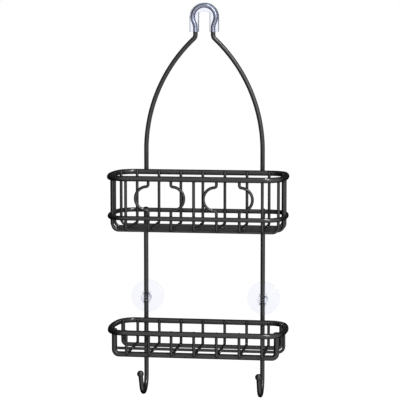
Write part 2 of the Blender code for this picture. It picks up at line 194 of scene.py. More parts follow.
# Clear vinyl: its tint and density change between a wall turned sideways and a face turned to the
# front or back, and drift a little from place to place. The faces have the vinyl's own pale tint;
# the deep slate tint of the walls is painted shade, for the dark outlines of the clear edges.
VINYL_IOR = 1.30
VINYL_DRIFT = 0.05
VINYL_SHADED_WALL_LEVEL = 0.25
VINYL_FACE_LEVEL = 0.65
VINYL_WAVE_NOISE = (90.0, 2.0, 0.5)
VINYL_HAZE_NOISE = (300.0, 3.0, 0.5)
VINYL_ROUGHNESS = (0.02, 0.06)
VINYL_RELIEF = 0.0002
VINYL_RELIEF_STRENGTH = 0.10
SADDLE_FACE = (0.74, 0.79, 0.96, 0.48)
SADDLE_WALL_SHADE = (0.16, 0.18, 0.27, 0.92)
BUSH_FACE = (0.80, 0.83, 0.95, 0.15)
BUSH_WALL_SHADE = (0.60, 0.66, 0.85, 0.25)
CUP_FACE = (0.79, 0.82, 0.91, 0.48)
CUP_WALL_SHADE = (0.28, 0.33, 0.48, 0.85)


# ---------------------------------------------------------------------------------------------
# Centrelines
# ---------------------------------------------------------------------------------------------

class BentPath:
    """Centreline of a bent wire in one plane, laid down as straights and round bends."""

    def __init__(self, start, u, v, heading):
        self.u = Vector(u)
        self.v = Vector(v)
        self.heading = heading
        self.points = [Vector(start)]

    def direction(self, angle):
        return self.u * math.cos(angle) + self.v * math.sin(angle)

    def straight(self, length):
        self.points.append(self.points[-1] + self.direction(self.heading) * length)

    def bend(self, radius, angle):
        turn = abs(angle)
        steps = max(2, math.ceil(turn / BEND_STEP), math.ceil(turn * radius / BEND_CHORD))
        side = math.copysign(math.pi / 2, angle)
        centre = self.points[-1] + self.direction(self.heading + side) * radius
        for step in range(1, steps + 1):
            heading = self.heading + angle * step / steps
            self.points.append(centre - self.direction(heading + side) * radius)
        self.heading += angle


def node_box(node):
    low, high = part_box(node)
    return Vector(low), Vector(high)


def wire_centre(node):
    low, high = node_box(node)
    return (low + high) / 2


def long_wire_radius(node):
    low, high = node_box(node)
    return (high.y - low.y) / 2


class Rim:
    """Plan and height of a closed rim, read from its node's box."""

    def __init__(self, node):
        low, high = node_box(node)
        self.radius = (high.z - low.z) / 2
        self.z = (high.z + low.z) / 2
        self.half_x = (high.x - low.x) / 2 - self.radius
        self.front_y = low.y + self.radius
        self.back_y = high.y - self.radius
        self.middle_y = (self.front_y + self.back_y) / 2
        self.depth = self.back_y - self.front_y
        reach = self.depth / 2 - RIM_CORNER_R
        self.end_angle = math.asin(reach / (RIM_END_R - RIM_CORNER_R))
        self.corner_x = (self.half_x - RIM_END_R
                         + (RIM_END_R - RIM_CORNER_R) * math.cos(self.end_angle))

    def points(self):
        start = (-self.corner_x, self.front_y, self.z)
        path = BentPath(start, X_AXIS, Y_AXIS, 0.0)
        for _ in range(2):
            path.straight(2 * self.corner_x)
            path.bend(RIM_CORNER_R, math.pi / 2 - self.end_angle)
            path.bend(RIM_END_R, 2 * self.end_angle)
            path.bend(RIM_CORNER_R, math.pi / 2 - self.end_angle)
        return path.points[:-1]

    def nearest(self, point):
        """Point of the rim's own centreline closest to a point near one of its ends."""
        side = math.copysign(1.0, point.x)
        off_middle = point.y - self.middle_y
        end_centre = Vector((side * (self.half_x - RIM_END_R), self.middle_y, self.z))
        away = Vector((point.x - end_centre.x, off_middle, 0.0)).normalized()
        if abs(math.asin(away.y)) < self.end_angle:
            return end_centre + away * RIM_END_R
        corner_y = self.middle_y + math.copysign(self.depth / 2 - RIM_CORNER_R, off_middle)
        corner = Vector((side * self.corner_x, corner_y, self.z))
        away = Vector((point.x - corner.x, point.y - corner.y, 0.0)).normalized()
        return corner + away * RIM_CORNER_R


def floor_sink(node):
    return FLOOR_SINK[node.split("_")[0]]


def cross_wire_x(node):
    """X of a cross wire's straight stretches; a bow reaches to one side of them."""
    low, high = node_box(node)
    bow_side = BOW_SIDES.get(node, 0)
    if bow_side:
        return high.x - THIN_R if bow_side < 0 else low.x + THIN_R
    return (low.x + high.x) / 2


def cross_wire_path(node):
    """Centreline of a cross wire, with the bow of its front stretch if it has one."""
    low, high = node_box(node)
    bow_side = BOW_SIDES.get(node, 0)
    front_y, back_y = low.y + THIN_R, high.y - THIN_R
    floor_z = low.z + THIN_R - floor_sink(node)
    top_z = high.z
    start = Vector((cross_wire_x(node), front_y, top_z))
    points = [start]
    if bow_side:
        reach = high.x - low.x - 2 * THIN_R
        bow_r = reach / (1.0 - math.cos(BOW_ANGLE)) - BOW_CORNER_R
        half_height = (bow_r + BOW_CORNER_R) * math.sin(BOW_ANGLE)
        bow = BentPath(start, X_AXIS * bow_side, Z_AXIS, -math.pi / 2)
        bow.straight(top_z - BOW_CENTRE_Z - half_height)
        bow.bend(BOW_CORNER_R, BOW_ANGLE)
        bow.bend(bow_r, -2 * BOW_ANGLE)
        bow.bend(BOW_CORNER_R, BOW_ANGLE)
        points = bow.points
    path = BentPath(points[-1], Y_AXIS, Z_AXIS, -math.pi / 2)
    path.straight(points[-1].z - floor_z - CROSS_BEND_R)
    path.bend(CROSS_BEND_R, math.pi / 2)
    path.straight(back_y - front_y - 2 * CROSS_BEND_R)
    path.bend(CROSS_BEND_R, math.pi / 2)
    path.straight(top_z - floor_z - CROSS_BEND_R)
    return points[:-1] + path.points


def end_sink(rim, y):
    """How far the end of a long wire sinks into the rim, deeper near the middle of its end."""
    return END_SINK_MIDDLE if abs(y - rim.middle_y) < MIDDLE_REACH else END_SINK_OUTER


def long_wire_path(node, bend_r, rim):
    """Centreline of a long wire whose ends sink a little way into the rim they are welded to."""
    low, high = node_box(node)
    radius = long_wire_radius(node)
    y = (low.y + high.y) / 2
    half_x = (high.x - low.x) / 2 - radius + end_sink(rim, y)
    upright = high.z - low.z - radius - bend_r
    path = BentPath((-half_x, y, high.z), X_AXIS, Z_AXIS, -math.pi / 2)
    path.straight(upright)
    path.bend(bend_r, math.pi / 2)
    path.straight(2 * (half_x - bend_r))
    path.bend(bend_r, math.pi / 2)
    path.straight(upright)
    return path.points


def hanger_path():
    """Centreline of the hanger: left foot, leg, neck, loop, neck, leg and right foot."""
    leg_half_x = HANGER_HIGH.x - ROD_R
    path = BentPath((0.0, 0.0, HANGER_HIGH.z - ROD_R), X_AXIS, Z_AXIS, 0.0)
    tuck = math.acos((NECK_HALF_X + LOOP_RETURN_R) / (LOOP_R + LOOP_RETURN_R))
    spread = math.acos(1.0 - (leg_half_x - NECK_HALF_X) / (LEG_ARC_R + NECK_BEND_R))
    path.bend(LOOP_R, -(math.pi / 2 + tuck))
    path.bend(LOOP_RETURN_R, tuck)
    path.straight(path.points[-1].z - NECK_BEND_Z)
    path.bend(NECK_BEND_R, spread)
    path.bend(LEG_ARC_R, -spread)
    path.straight(path.points[-1].z - HANGER_LOW.z)
    left = [Vector((-point.x, point.y, point.z)) for point in reversed(path.points[1:])]
    return left + path.points


def drop_rod_path(node):
    """Centreline of a drop rod, from its top down and round the leaning hook to its tip."""
    low, high = node_box(node)
    path = BentPath(((low.x + high.x) / 2, 0.0, high.z), -Y_AXIS, Z_AXIS, -math.pi / 2)
    path.straight(high.z - low.z - ROD_R - HOOK_R)
    path.bend(HOOK_R, math.pi - HOOK_LEAN)
    path.straight(HOOK_LEG)
    return path.points


# ---------------------------------------------------------------------------------------------
# Meshes
# ---------------------------------------------------------------------------------------------

def smooth_object(name, shape):
    """Smooth object from a finished bmesh, with its normals outwards."""
    bmesh.ops.recalc_face_normals(shape, faces=shape.faces)
    mesh = bpy.data.meshes.new(name)
    shape.to_mesh(mesh)
    shape.free()
    for polygon in mesh.polygons:
        polygon.use_smooth = True
    obj = bpy.data.objects.new(name, mesh)
    bpy.context.scene.collection.objects.link(obj)
    return obj


def finish_moulding(name, shape, material):
    """Smooth object of one material that keeps its sharp creases."""
    obj = smooth_object(name, shape)
    obj.data.materials.append(material)
    obj.data.set_sharp_from_angle(angle=CREASE_ANGLE)
    return obj


def ring_frames(points, closed):
    """Position, tangent, side and normal along a centreline, carried along without twist."""
    count = len(points)
    tangents = []
    for i, point in enumerate(points):
        before = points[i - 1] if closed or i > 0 else point
        after = points[(i + 1) % count] if closed or i < count - 1 else point
        ahead = (after - point).normalized() if after != point else Vector()
        behind = (point - before).normalized() if before != point else Vector()
        tangents.append((ahead + behind).normalized())
    side = tangents[0].orthogonal().normalized()
    frames = []
    for point, tangent in zip(points, tangents):
        side = (side - tangent * side.dot(tangent)).normalized()
        frames.append((point, tangent, side, tangent.cross(side)))
    return frames


def add_ring(shape, centre, side, normal, radius, sides=WIRE_SIDES):
    ring = []
    for i in range(sides):
        angle = 2 * math.pi * i / sides
        spoke = side * math.cos(angle) + normal * math.sin(angle)
        ring.append(shape.verts.new(centre + spoke * radius))
    return ring


def bridge(shape, ring_a, ring_b):
    count = len(ring_a)
    for i in range(count):
        j = (i + 1) % count
        shape.faces.new((ring_a[i], ring_a[j], ring_b[j], ring_b[i]))


def rounded_end(end_frame, radius, inward):
    """Stations of a cut end, from its flat face to full radius, with the edge rounded over."""
    point, tangent, side, normal = end_frame
    edge = radius * END_ROUNDING
    stations = []
    for i in range(END_RINGS + 1):
        angle = math.pi / 2 * i / END_RINGS
        along = edge * (1 - math.cos(angle)) * inward
        narrowing = edge * (1 - math.sin(angle))
        stations.append((point + tangent * along, side, normal, radius - narrowing))
    return stations


def add_wire(shape, points, radius, closed=False):
    """Round wire along a centreline; cut ends have their edges rounded by the coating."""
    frames = ring_frames(points, closed)
    middle = frames if closed else frames[1:-1]
    stations = [(point, side, normal, radius) for point, _, side, normal in middle]
    if not closed:
        start = rounded_end(frames[0], radius, 1)
        end = rounded_end(frames[-1], radius, -1)
        stations = start + stations + end[::-1]
    rings = [add_ring(shape, *station) for station in stations]
    for ring_a, ring_b in zip(rings, rings[1:]):
        bridge(shape, ring_a, ring_b)
    if closed:
        bridge(shape, rings[-1], rings[0])
    else:
        shape.faces.new(rings[0])
        shape.faces.new(rings[-1])


def make_wire(name, node, points, radius, material, closed=False):
    """Visual wire that stands for one CAD node."""
    shape = bmesh.new()
    add_wire(shape, points, radius, closed)
    obj = smooth_object(name, shape)
    obj.data.materials.append(material)
    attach(obj, "frame")
    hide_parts(node)


def add_fillet(shape, wire_a, axis_a, radius_a, wire_b, axis_b, radius_b):
    """Weld fillet where wire A crosses wire B: a pinched ring that flares onto both wires.

    wire_a and wire_b are the points of the two centrelines that lie closest together.
    """
    normal = (wire_a - wire_b).normalized()
    across = (axis_b - normal * axis_b.dot(normal)).normalized()
    along = across.cross(normal)
    if along.dot(axis_a) < 0:
        along = -along
    rings = []
    for level in range(FILLET_RINGS + 1):
        s = 2 * level / FILLET_RINGS - 1
        ring = []
        for i in range(FILLET_STEPS):
            angle = 2 * math.pi * i / FILLET_STEPS
            cos_a, sin_a = math.cos(angle), math.sin(angle)
            reach = FILLET_REACH / math.hypot(cos_a / radius_b, sin_a / radius_a)
            rho = reach * (FILLET_WAIST + (1 - FILLET_WAIST) * s * s)
            on_a = wire_a - normal * math.sqrt(max(0.0, radius_a ** 2 - (rho * sin_a) ** 2))
            on_b = wire_b + normal * math.sqrt(max(0.0, radius_b ** 2 - (rho * cos_a) ** 2))
            on_a += normal * FILLET_ROOT
            on_b -= normal * FILLET_ROOT
            base = on_b.lerp(on_a, (s + 1) / 2)
            ring.append(shape.verts.new(base + (along * cos_a + across * sin_a) * rho))
        rings.append(ring)
    for ring_a, ring_b in zip(rings, rings[1:]):
        bridge(shape, ring_a, ring_b)
    shape.faces.new(rings[0])
    shape.faces.new(rings[-1])


def make_welds(name, welds, material):
    """One object with the fillets of a group of welds, riding on the frame."""
    shape = bmesh.new()
    for weld in welds:
        add_fillet(shape, *weld)
    obj = smooth_object(name, shape)
    obj.data.materials.append(material)
    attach(obj, "frame")


def turned(profile, centre, axis, closed=False):
    """Turned shape about an axis; the profile holds (radius, distance along the axis) pairs."""
    shape = bmesh.new()
    side = axis.orthogonal().normalized()
    normal = axis.cross(side)
    rings = []
    for radius, along in profile:
        on_axis = centre + axis * along
        if radius == 0.0:
            rings.append([shape.verts.new(on_axis)])
        else:
            rings.append(add_ring(shape, on_axis, side, normal, radius, TURNED_STEPS))
    pairs = list(zip(rings, rings[1:]))
    if closed:
        pairs.append((rings[-1], rings[0]))
    for ring_a, ring_b in pairs:
        for i in range(TURNED_STEPS):
            j = (i + 1) % TURNED_STEPS
            corners = [ring_a[i % len(ring_a)], ring_a[j % len(ring_a)],
                       ring_b[j % len(ring_b)], ring_b[i % len(ring_b)]]
            kept = [corner for k, corner in enumerate(corners) if corner is not corners[k - 1]]
            shape.faces.new(kept)
    return shape


def saddle_outline():
    """Front outline of the saddle in X and Z: an arch outside, a ribbed square slot inside."""
    outer = BentPath((SADDLE_HIGH.x, 0.0, SADDLE_LOW.z), X_AXIS, Z_AXIS, math.pi / 2)
    arch_centre_z = SADDLE_HIGH.z - SADDLE_HIGH.x
    outer.straight(arch_centre_z - SADDLE_LOW.z)
    outer.bend(SADDLE_HIGH.x, math.pi)
    outer.straight(arch_centre_z - SADDLE_LOW.z)
    slot = [Vector((-SLOT_HALF_X, 0.0, SADDLE_LOW.z))]
    pitch = -SADDLE_LOW.z / (RIB_COUNT + 1)
    for rib in range(1, RIB_COUNT + 1):
        for i in range(RIB_STEPS + 1):
            angle = math.pi * (i / RIB_STEPS - 0.5)
            slot.append(Vector((RIB_R * math.cos(angle) - SLOT_HALF_X, 0.0,
                                RIB_R * math.sin(angle) + SADDLE_LOW.z + pitch * rib)))
    for i in range(CORNER_STEPS + 1):
        angle = math.pi * (1 - i / CORNER_STEPS / 2)
        slot.append(Vector((SLOT_CORNER_R * (math.cos(angle) + 1) - SLOT_HALF_X, 0.0,
                            SLOT_CORNER_R * (math.sin(angle) - 1))))
    mirrored = [Vector((-point.x, 0.0, point.z)) for point in reversed(slot)]
    return outer.points + slot + mirrored


def inset_outline(outline, inset):
    """An outline in X and Z drawn inwards by a constant distance."""
    drawn_in = []
    for i, point in enumerate(outline):
        before = (point - outline[i - 1]).normalized()
        after = (outline[(i + 1) % len(outline)] - point).normalized()
        normal_before = Vector((-before.z, 0.0, before.x))
        normal_after = Vector((-after.z, 0.0, after.x))
        mitre = (normal_before + normal_after) / (1.0 + normal_before.dot(normal_after))
        drawn_in.append(point + mitre * inset)
    return drawn_in


def make_saddle(material):
    """Clear saddle moulded round the hanger's loop, with soft edges and ribs in its slot."""
    outline = saddle_outline()
    stations = []
    for i in range(CORNER_STEPS + 1):
        angle = math.pi / 2 * i / CORNER_STEPS
        stations.append((SADDLE_LOW.y + SADDLE_EDGE * (1 - math.cos(angle)),
                         SADDLE_EDGE * (1 - math.sin(angle))))
    stations += [(-y, inset) for y, inset in reversed(stations)]
    shape = bmesh.new()
    rings = []
    for y, inset in stations:
        ring = [shape.verts.new(point + Y_AXIS * y) for point in inset_outline(outline, inset)]
        rings.append(ring)
    for ring_a, ring_b in zip(rings, rings[1:]):
        bridge(shape, ring_a, ring_b)
    shape.faces.new(rings[0])
    shape.faces.new(rings[-1])
    saddle = finish_moulding("hook_saddle_moulding", shape, material)
    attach(saddle, "frame")
    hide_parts("hook_saddle")


def make_cup(side_name, material):
    """Clear suction cup: thin flared wall with a thicker lip band, on a boss round the bush."""
    node = side_name + "_suction_cup"
    low, high = node_box(node)
    lip_r = (high.x - low.x) / 2
    centre = Vector(((low.x + high.x) / 2, 0.0, (low.z + high.z) / 2))
    hollow_depth = high.y - CUP_HOLLOW_FLOOR
    wall_depth = high.y - CUP_LIP_THICKNESS - CUP_WALL_ROOT
    hollow = []
    outside = []
    for i in range(CUP_WALL_STEPS + 1):
        t = i / CUP_WALL_STEPS
        rise = t ** CUP_WALL_POWER
        band = CUP_BAND if t > CUP_BAND_START else 0.0
        hollow.append(((lip_r - CUP_LIP_WIDTH) * t, CUP_HOLLOW_FLOOR + hollow_depth * rise))
        outside.append((CUP_NECK_R + (lip_r - CUP_NECK_R) * t,
                        CUP_WALL_ROOT + wall_depth * rise - band))
    front = []
    for i in range(CORNER_STEPS + 1):
        angle = math.pi / 2 * i / CORNER_STEPS
        front.append((CUP_BOSS_R - CUP_BOSS_ROUND * (1 - math.cos(angle)),
                      low.y + CUP_BOSS_ROUND * (1 - math.sin(angle))))
    profile = hollow + [(lip_r, high.y)] + outside[::-1] + [(CUP_NECK_R, CUP_BOSS_BACK)]
    profile += [(CUP_BOSS_R, CUP_BOSS_BACK - CUP_BOSS_BACK_ROUND)] + front + [(0.0, low.y)]
    cup = finish_moulding(node + "_moulding", turned(profile, centre, Y_AXIS), material)
    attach(cup, side_name + "_cup")
    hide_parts(node)


def make_bush(side_name, material):
    """Clear flanged sleeve between the drop rod and the cup."""
    node = side_name + "_cup_bush"
    low, high = node_box(node)
    flange_r = (high.x - low.x) / 2
    half_height = (high.z - low.z) / 2
    upper = [
        (ROD_R + CLEARANCE, half_height),
        (flange_r - BUSH_EDGE, half_height),
        (flange_r, half_height - BUSH_EDGE),
        (flange_r, BUSH_FLANGE_UNDER + BUSH_EDGE),
        (flange_r - BUSH_EDGE, BUSH_FLANGE_UNDER),
        (BUSH_R, BUSH_FLANGE_UNDER),
    ]
    lower = [(radius, -along) for radius, along in reversed(upper)]
    shape = turned(upper + lower, (low + high) / 2, Z_AXIS, closed=True)
    bush = finish_moulding(node + "_moulding", shape, material)
    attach(bush, side_name + "_bush")
    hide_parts(node)


def make_ball(side_name, material):
    """Black ball tip on the hook's end, with a mould seam round it and a gate mark on top."""
    node = side_name + "_hook_ball"
    low, high = node_box(node)
    radius = (high.x - low.x) / 2
    centre = Vector(((low.x + high.x) / 2, low.y + radius, high.z - radius))
    axis = Vector((0.0, -math.sin(HOOK_LEAN), math.cos(HOOK_LEAN)))
    last = math.pi - math.asin((ROD_R + CLEARANCE) / radius)
    profile = [(0.0, radius - 2 * BALL_SEAM), (BALL_GATE_R, radius - 2 * BALL_SEAM)]
    for i in range(1, BALL_RINGS + 1):
        angle = last * i / BALL_RINGS
        if radius * math.sin(angle) < BALL_GATE_R:
            continue
        seam = BALL_SEAM if abs(angle - math.pi / 2) < last / BALL_RINGS else 0.0
        profile.append(((radius - seam) * math.sin(angle), (radius - seam) * math.cos(angle)))
    profile += [(ROD_R + CLEARANCE, BALL_BORE_TOP), (0.0, BALL_BORE_TOP)]
    ball = finish_moulding(node + "_moulding", turned(profile, centre, axis), material)
    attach(ball, "frame")
    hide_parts(node)


# ---------------------------------------------------------------------------------------------
# Materials
# ---------------------------------------------------------------------------------------------

def new_material(name):
    material = bpy.data.materials.new(name)
    material.use_nodes = True
    return material, material.node_tree, material.node_tree.nodes["Principled BSDF"]


def add_noise(tree, vector, scale, detail, roughness):
    noise = tree.nodes.new("ShaderNodeTexNoise")
    noise.inputs["Scale"].default_value = scale
    noise.inputs["Detail"].default_value = detail
    noise.inputs["Roughness"].default_value = roughness
    tree.links.new(vector, noise.inputs["Vector"])
    return noise.outputs["Fac"]


def add_ramp(tree, factor, stops):
    ramp = tree.nodes.new("ShaderNodeValToRGB")
    elements = ramp.color_ramp.elements
    while len(elements) < len(stops):
        elements.new(0.5)
    for element, (position, color) in zip(elements, stops):
        element.position = position
        element.color = color
    tree.links.new(factor, ramp.inputs["Fac"])
    return ramp.outputs["Color"]


def add_range(tree, value, from_low, from_high, to_low, to_high):
    mapped = tree.nodes.new("ShaderNodeMapRange")
    mapped.inputs["From Min"].default_value = from_low
    mapped.inputs["From Max"].default_value = from_high
    mapped.inputs["To Min"].default_value = to_low
    mapped.inputs["To Max"].default_value = to_high
    tree.links.new(value, mapped.inputs["Value"])
    return mapped.outputs["Result"]


def add_bump(tree, height, distance, strength, below=None):
    bump = tree.nodes.new("ShaderNodeBump")
    bump.inputs["Distance"].default_value = distance
    bump.inputs["Strength"].default_value = strength
    tree.links.new(height, bump.inputs["Height"])
    if below is not None:
        tree.links.new(below, bump.inputs["Normal"])
    return bump.outputs["Normal"]


def object_coordinates(tree):
    return tree.nodes.new("ShaderNodeTexCoord").outputs["Object"]


def add_math(tree, operation, first, second):
    """Math node of two inputs, each a socket or a number."""
    node = tree.nodes.new("ShaderNodeMath")
    node.operation = operation
    for source, socket in zip((first, second), node.inputs):
        if isinstance(source, float):
            socket.default_value = source
        else:
            tree.links.new(source, socket)
    return node.outputs["Value"]


def add_drift(tree, noise, amount, value):
    """A value that a noise texture shifts by up to an amount."""
    node = tree.nodes.new("ShaderNodeMath")
    node.operation = "MULTIPLY_ADD"
    node.inputs[1].default_value = amount
    tree.links.new(noise, node.inputs[0])
    tree.links.new(value, node.inputs[2])
    return node.outputs["Value"]


def split_axes(tree, vector):
    split = tree.nodes.new("ShaderNodeSeparateXYZ")
    tree.links.new(vector, split.inputs["Vector"])
    return split.outputs


def grey(value):
    """Faintly cool grey."""
    return (value, value, value * GREY_BLUE, 1.0)


def noise_greys(dark, pale):
    return [(NOISE_LOW, grey(dark)), (NOISE_HIGH, grey(pale))]


def powder_coat():
    """Satin black powder coat: orange peel, fine grain and slightly uneven gloss."""
    material, tree, shader = new_material("black_powder_coat")
    place = object_coordinates(tree)
    peel = add_noise(tree, place, *PEEL_NOISE)
    grain = add_noise(tree, place, *GRAIN_NOISE)
    patches = add_noise(tree, place, *COAT_PATCH_NOISE)
    color = add_ramp(tree, patches, noise_greys(*COAT_GREYS))
    gloss = add_range(tree, grain, NOISE_LOW, NOISE_HIGH, *COAT_ROUGHNESS)
    fine = add_bump(tree, grain, GRAIN_RELIEF, RELIEF_STRENGTH)
    relief = add_bump(tree, peel, PEEL_RELIEF, RELIEF_STRENGTH, fine)
    tree.links.new(color, shader.inputs["Base Color"])
    tree.links.new(gloss, shader.inputs["Roughness"])
    tree.links.new(relief, shader.inputs["Normal"])
    return material


def hanger_finish(mouth_z):
    """Powder coat up to the saddle's mouth, and drawn steel where the clear saddle covers it."""
    material, tree, shader = new_material("hanger_coat_and_steel")
    place = object_coordinates(tree)
    ragged = add_noise(tree, place, *COAT_EDGE_NOISE)
    height = add_drift(tree, ragged, COAT_EDGE_BLUR, split_axes(tree, place)["Z"])
    bare = add_range(tree, height, mouth_z, mouth_z + COAT_EDGE_BLUR, 0.0, 1.0)
    peel = add_noise(tree, place, *PEEL_NOISE)
    grain = add_noise(tree, place, *GRAIN_NOISE)
    patches = add_noise(tree, place, *STEEL_PATCH_NOISE)
    steel = add_ramp(tree, patches, [STEEL_DARK, STEEL_PALE])
    coat = add_ramp(tree, patches, noise_greys(*COAT_GREYS))
    color = tree.nodes.new("ShaderNodeMix")
    color.data_type = "RGBA"
    tree.links.new(bare, color.inputs[MIX_FACTOR])
    tree.links.new(coat, color.inputs[MIX_COLOR_A])
    tree.links.new(steel, color.inputs[MIX_COLOR_B])
    gloss = add_range(tree, grain, NOISE_LOW, NOISE_HIGH, *STEEL_ROUGHNESS)
    relief = add_bump(tree, peel, PEEL_RELIEF, RELIEF_STRENGTH)
    strength = add_range(tree, bare, 0.0, 1.0, RELIEF_STRENGTH, STEEL_RELIEF_STRENGTH)
    tree.links.new(strength, relief.node.inputs["Strength"])
    tree.links.new(color.outputs[MIX_COLOR_RESULT], shader.inputs["Base Color"])
    tree.links.new(bare, shader.inputs["Metallic"])
    tree.links.new(gloss, shader.inputs["Roughness"])
    tree.links.new(relief, shader.inputs["Normal"])
    return material


def ball_plastic():
    """Smooth black plastic with a faint moulding haze."""
    material, tree, shader = new_material("ball_black_plastic")
    haze = add_noise(tree, object_coordinates(tree), *BALL_HAZE_NOISE)
    color = add_ramp(tree, haze, noise_greys(*BALL_GREYS))
    gloss = add_range(tree, haze, NOISE_LOW, NOISE_HIGH, *BALL_ROUGHNESS)
    relief = add_bump(tree, haze, BALL_RELIEF, RELIEF_STRENGTH)
    tree.links.new(color, shader.inputs["Base Color"])
    tree.links.new(gloss, shader.inputs["Roughness"])
    tree.links.new(relief, shader.inputs["Normal"])
    return material


def clear_vinyl(name, face, wall):
    """Clear soft vinyl: its own pale tint on faces towards the front or back, and painted shade, a
    deep slate tint, on walls turned sideways, for the dark outlines of the clear edges.

    face and wall each hold a red, green and blue tint and a density; wall's tint is painted shade.
    """
    material, tree, shader = new_material(name)
    place = object_coordinates(tree)
    waves = add_noise(tree, place, *VINYL_WAVE_NOISE)
    haze = add_noise(tree, place, *VINYL_HAZE_NOISE)
    normal = tree.nodes.new("ShaderNodeTexCoord").outputs["Normal"]
    facing = add_math(tree, "ABSOLUTE", split_axes(tree, normal)["Y"], 0.0)
    level = add_drift(tree, waves, VINYL_DRIFT, facing)
    # The wall stop paints shade: a deep slate tint where the vinyl turns sideways.
    stops = [(VINYL_SHADED_WALL_LEVEL, (*wall[:3], 1.0)), (VINYL_FACE_LEVEL, (*face[:3], 1.0))]
    color = add_ramp(tree, level, stops)
    density = add_range(tree, level, VINYL_SHADED_WALL_LEVEL, VINYL_FACE_LEVEL, wall[3], face[3])
    gloss = add_range(tree, haze, NOISE_LOW, NOISE_HIGH, *VINYL_ROUGHNESS)
    relief = add_bump(tree, waves, VINYL_RELIEF, VINYL_RELIEF_STRENGTH)
    tree.links.new(color, shader.inputs["Base Color"])
    tree.links.new(density, shader.inputs["Alpha"])
    tree.links.new(gloss, shader.inputs["Roughness"])
    tree.links.new(relief, shader.inputs["Normal"])
    shader.inputs["Transmission Weight"].default_value = 1.0
    shader.inputs["IOR"].default_value = VINYL_IOR
    return material


# ---------------------------------------------------------------------------------------------
# The caddy
# ---------------------------------------------------------------------------------------------

HANGER_LOW, HANGER_HIGH = node_box("hanger_rod")
ROD_R = (HANGER_HIGH.y - HANGER_LOW.y) / 2
STRAIGHT_WIRE_LOW, STRAIGHT_WIRE_HIGH = node_box("upper_cross_wire_1")
THIN_R = (STRAIGHT_WIRE_HIGH.x - STRAIGHT_WIRE_LOW.x) / 2
SADDLE_LOW, SADDLE_HIGH = node_box("hook_saddle")

COAT = powder_coat()
HANGER_FINISH = hanger_finish(SADDLE_LOW.z)
BALL_PLASTIC = ball_plastic()
# Each vinyl's walls get painted shade, a deep slate tint for the dark outlines of clear edges.
SADDLE_VINYL = clear_vinyl("saddle_vinyl_painted_edge_shade", SADDLE_FACE, SADDLE_WALL_SHADE)
BUSH_VINYL = clear_vinyl("bush_vinyl_painted_edge_shade", BUSH_FACE, BUSH_WALL_SHADE)
CUP_VINYL = clear_vinyl("cup_vinyl_painted_edge_shade", CUP_FACE, CUP_WALL_SHADE)


def node_names(prefix):
    return sorted(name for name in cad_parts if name.startswith(prefix))


def make_rim_piece(node):
    rim = Rim(node)
    make_wire(node + "_wire", node, rim.points(), rim.radius, COAT, closed=True)
    return rim


def basket_welds(rims, cross_nodes, long_nodes):
    """Every crossing of a basket: wire against rim at the sides, wire against wire in the floor."""
    welds = []
    for node in cross_nodes:
        low, high = node_box(node)
        x = cross_wire_x(node)
        for rim in rims:
            weld_z = min(rim.z, high.z)
            for wire_y, rim_y in ((low.y + THIN_R, rim.front_y), (high.y - THIN_R, rim.back_y)):
                welds.append((Vector((x, wire_y, weld_z)), Z_AXIS, THIN_R,
                              Vector((x, rim_y, weld_z)), X_AXIS, rim.radius))
        floor_z = low.z + THIN_R - floor_sink(node)
        for long_node in long_nodes:
            long_y = wire_centre(long_node).y
            radius = long_wire_radius(long_node)
            long_z = node_box(long_node)[0].z + radius
            if floor_z - long_z < DEEP_WELD * (THIN_R + radius):
                continue
            welds.append((Vector((x, long_y, floor_z)), Y_AXIS, THIN_R,
                          Vector((x, long_y, long_z)), X_AXIS, radius))
    for long_node in long_nodes:
        low, high = node_box(long_node)
        radius = long_wire_radius(long_node)
        y = wire_centre(long_node).y
        sink = end_sink(rims[0], y)
        for x in (low.x + radius - sink, high.x - radius + sink):
            for rim in rims:
                wire = Vector((x, y, rim.z))
                on_rim = rim.nearest(wire)
                tangent = Z_AXIS.cross((on_rim - wire).normalized())
                welds.append((wire, Z_AXIS, radius, on_rim, tangent, rim.radius))
    return welds


def make_basket(tier, rim_nodes):
    """Rims, cross wires, long wires and welds of one basket; returns its rims."""
    rims = [make_rim_piece(node) for node in rim_nodes]
    cross_nodes = node_names(tier + "_cross_wire_")
    long_nodes = node_names(tier + "_long_wire_")
    for node in cross_nodes:
        make_wire(node + "_wire", node, cross_wire_path(node), THIN_R, COAT)
    for node in long_nodes:
        radius = long_wire_radius(node)
        heavy = radius > HEAVY_WIRE_RATIO * THIN_R
        bend_r = LONG_HEAVY_BEND_R if heavy else LONG_THIN_BEND_R
        make_wire(node + "_wire", node, long_wire_path(node, bend_r, rims[0]), radius, COAT)
    make_welds(tier + "_basket_welds", basket_welds(rims, cross_nodes, long_nodes), COAT)
    return rims


def make_rods(top_rim, rail, bottom_rim):
    """Hanger, drop rods and the welds that tie them to the backs of the rims."""
    make_wire("hanger_rod_wire", "hanger_rod", hanger_path(), ROD_R, HANGER_FINISH)
    welds = []
    leg_x = HANGER_HIGH.x - ROD_R
    for side_name, side in (("left", -1), ("right", 1)):
        node = side_name + "_drop_rod"
        make_wire(node + "_wire", node, drop_rod_path(node), ROD_R, COAT)
        drop_x = wire_centre(node).x
        for x, rim in ((side * leg_x, top_rim), (drop_x, rail), (drop_x, bottom_rim)):
            welds.append((Vector((x, 0.0, rim.z)), Z_AXIS, ROD_R,
                          Vector((x, rim.back_y, rim.z)), X_AXIS, rim.radius))
    make_welds("rod_welds", welds, COAT)


upper_rim, upper_rail = make_basket("upper", ["upper_top_rim", "upper_lower_rail"])
lower_rim = make_basket("lower", ["lower_top_rim"])[0]
make_rods(upper_rim, upper_rail, lower_rim)

make_saddle(SADDLE_VINYL)
for side_name in ("left", "right"):
    make_bush(side_name, BUSH_VINYL)
    make_cup(side_name, CUP_VINYL)
    make_ball(side_name, BALL_PLASTIC)


# ---------------------------------------------------------------------------------------------
# Camera, floor and light
# ---------------------------------------------------------------------------------------------

